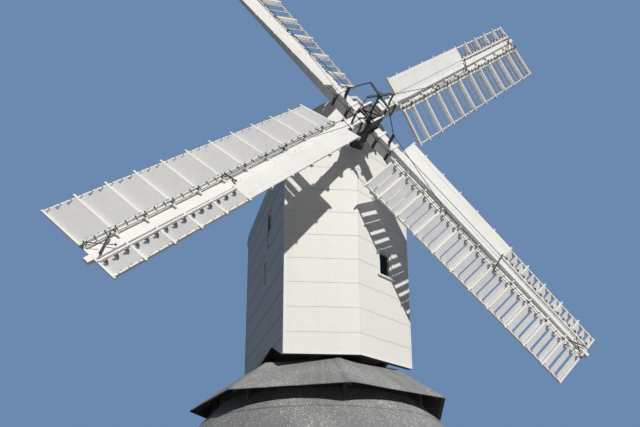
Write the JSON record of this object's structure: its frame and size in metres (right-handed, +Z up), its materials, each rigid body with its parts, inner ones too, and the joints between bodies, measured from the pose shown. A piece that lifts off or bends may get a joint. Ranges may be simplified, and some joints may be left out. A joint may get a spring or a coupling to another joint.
{
  "type": "post mill",
  "caption": "Post mill: a white buck with shuttered sails turning on a trestle post, over a round brick base with a conical roof and an eight-sided hood.",
  "frame": {"origin": "foot of the post's axis at ground level, the centre of the roundhouse floor's underside", "axes": "+Z up along the post; the sails and the breast face -Y; the tail ladder is on +Y; +X is to the right seen from in front of the sails"},
  "size_m": [14.2416, 14.7903, 18.9205],
  "materials": {
    "brick": "matt brick with lime mortar",
    "floor_brick": "worn brick paving",
    "oak": "weathered bare oak",
    "floor_board": "worn bare boards",
    "roof_felt": "matt grey mineral felt with pale specks",
    "hood_felt": "matt grey mineral felt with pale specks",
    "white_wall": "white painted sheet with fine level seams",
    "buck_roof": "pale grey-white painted sheet",
    "white_timber": "white gloss paint on planed timber",
    "white_shutter": "white paint on thin boards, weathered",
    "dark_door": "black tar varnish on boards",
    "white_frame": "white gloss paint",
    "glass": "clear window glass",
    "black_iron": "black painted iron",
    "shaft_iron": "dark greased iron"
  },
  "bodies": {
    "roundhouse": {"roundhouse_wall": "brick", "roundhouse_floor": "floor_brick", "wall_plate": "oak", "roundhouse_doors": "dark_door", "roundhouse_windows": "white_frame", "roundhouse_glass": "glass", "roundhouse_roof": "roof_felt", "hood_panels": "hood_felt", "hood_frame": "oak", "trestle_piers": "brick", "crosstrees": "oak", "quarter_bars": "oak", "main_post": "oak"},
    "buck": {"breast_left": "white_wall", "breast_right": "white_wall", "side_wall_left": "white_wall", "side_wall_right": "white_wall", "tail_wall": "white_wall", "buck_roof_left": "buck_roof", "buck_roof_right": "buck_roof", "buck_floor": "floor_board", "stone_floor": "floor_board", "bin_floor": "floor_board", "sheers": "oak", "crown_tree": "oak", "shaft_beams": "oak", "shaft_bearings": "shaft_iron", "buck_windows": "white_frame", "buck_glass": "glass", "side_hatch": "dark_door", "tail_door": "white_frame", "tail_landing": "white_timber", "ladder_sides": "white_timber", "ladder_treads": "floor_board", "tail_pole": "white_timber"},
    "sails": {"windshaft": "shaft_iron", "poll_end": "black_iron", "stocks": "white_timber", "stock_clamps": "black_iron", "sail_frame_1": "white_timber", "sail_frame_2": "white_timber", "sail_frame_3": "white_timber", "sail_frame_4": "white_timber", "sail_shutters": "white_shutter", "leading_boards": "white_timber", "striking_gear": "black_iron"}
  },
  "joints": [
    {"name": "buck_yaw", "type": "hinge", "parent": "roundhouse", "child": "buck", "pos_m": [0, 0, 7.43], "axis": [0, 0, 1], "continuous": true},
    {"name": "sail_spin", "type": "hinge", "parent": "buck", "child": "sails", "pos_m": [0, -3.645, 11.9363], "axis": [0, -0.9893, 0.1461], "continuous": true}
  ]
}
